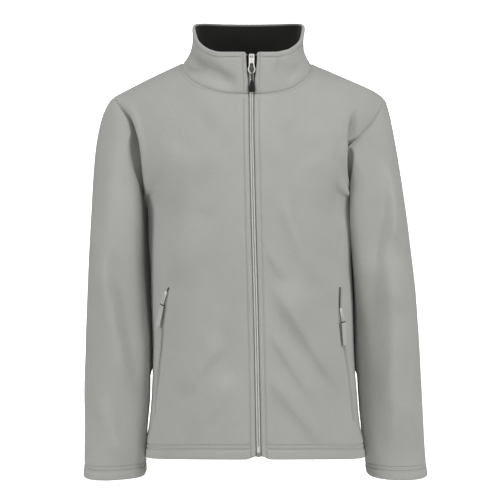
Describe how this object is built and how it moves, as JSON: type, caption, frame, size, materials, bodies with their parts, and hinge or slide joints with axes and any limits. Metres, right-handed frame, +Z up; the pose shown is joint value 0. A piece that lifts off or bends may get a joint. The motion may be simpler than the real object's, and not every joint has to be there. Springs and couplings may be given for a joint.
{
  "type": "fleece zip jacket",
  "caption": "Long-sleeved fleece jacket with a stand collar, full front zip and zipped side pockets, filled out as if worn, empty and open at neck, hem and cuffs.",
  "frame": {"origin": "midway between the shoulders at the height where a wearer's shoulders carry the jacket", "axes": "+X to the wearer's left, -Y to the front, +Z up"},
  "size_m": [0.598, 0.2569, 0.8005],
  "materials": {
    "fleece": "short brushed nap, matt light grey",
    "black_fleece": "short brushed nap, matt black",
    "coil": "light grey nylon coil, satin",
    "zip_tape": "black woven tape, matt",
    "zip_metal": "nickel-plated zinc, bright",
    "rubber": "moulded black rubber, matt"
  },
  "bodies": {
    "garment": {"front_right": "fleece", "front_left": "fleece", "back": "fleece", "sleeve_right": "fleece", "sleeve_left": "fleece", "collar_outer": "fleece", "collar_lining": "black_fleece", "zip_tape_right": "zip_tape", "zip_tape_left": "zip_tape", "zip_chain": "coil", "zip_box": "zip_metal", "zip_slider": "zip_metal", "pocket_zip_right": "coil", "pocket_zip_left": "coil", "pocket_slider_right": "zip_metal", "pocket_slider_left": "zip_metal"},
    "front_pull": {"zip_pull": "zip_metal", "zip_cord": "rubber", "zip_drop": "rubber"},
    "pocket_pull_right": {"pocket_loop_right": "zip_metal", "pocket_tab_right": "fleece"},
    "pocket_pull_left": {"pocket_loop_left": "zip_metal", "pocket_tab_left": "fleece"}
  },
  "joints": [
    {"name": "front_pull_hinge", "type": "hinge", "parent": "garment", "child": "front_pull", "pos_m": [0.00271, -0.09532, 0.03227], "axis": [-1, -0.0001, -0.0011], "range_deg": [0, 165]},
    {"name": "pocket_pull_right_hinge", "type": "hinge", "parent": "garment", "child": "pocket_pull_right", "pos_m": [-0.14519, -0.08995, -0.37333], "axis": [-0.6331, 0.657, 0.4093], "range_deg": [0, 150]},
    {"name": "pocket_pull_left_hinge", "type": "hinge", "parent": "garment", "child": "pocket_pull_left", "pos_m": [0.15656, -0.08717, -0.40204], "axis": [-0.6591, -0.7468, -0.089], "range_deg": [0, 150]}
  ]
}
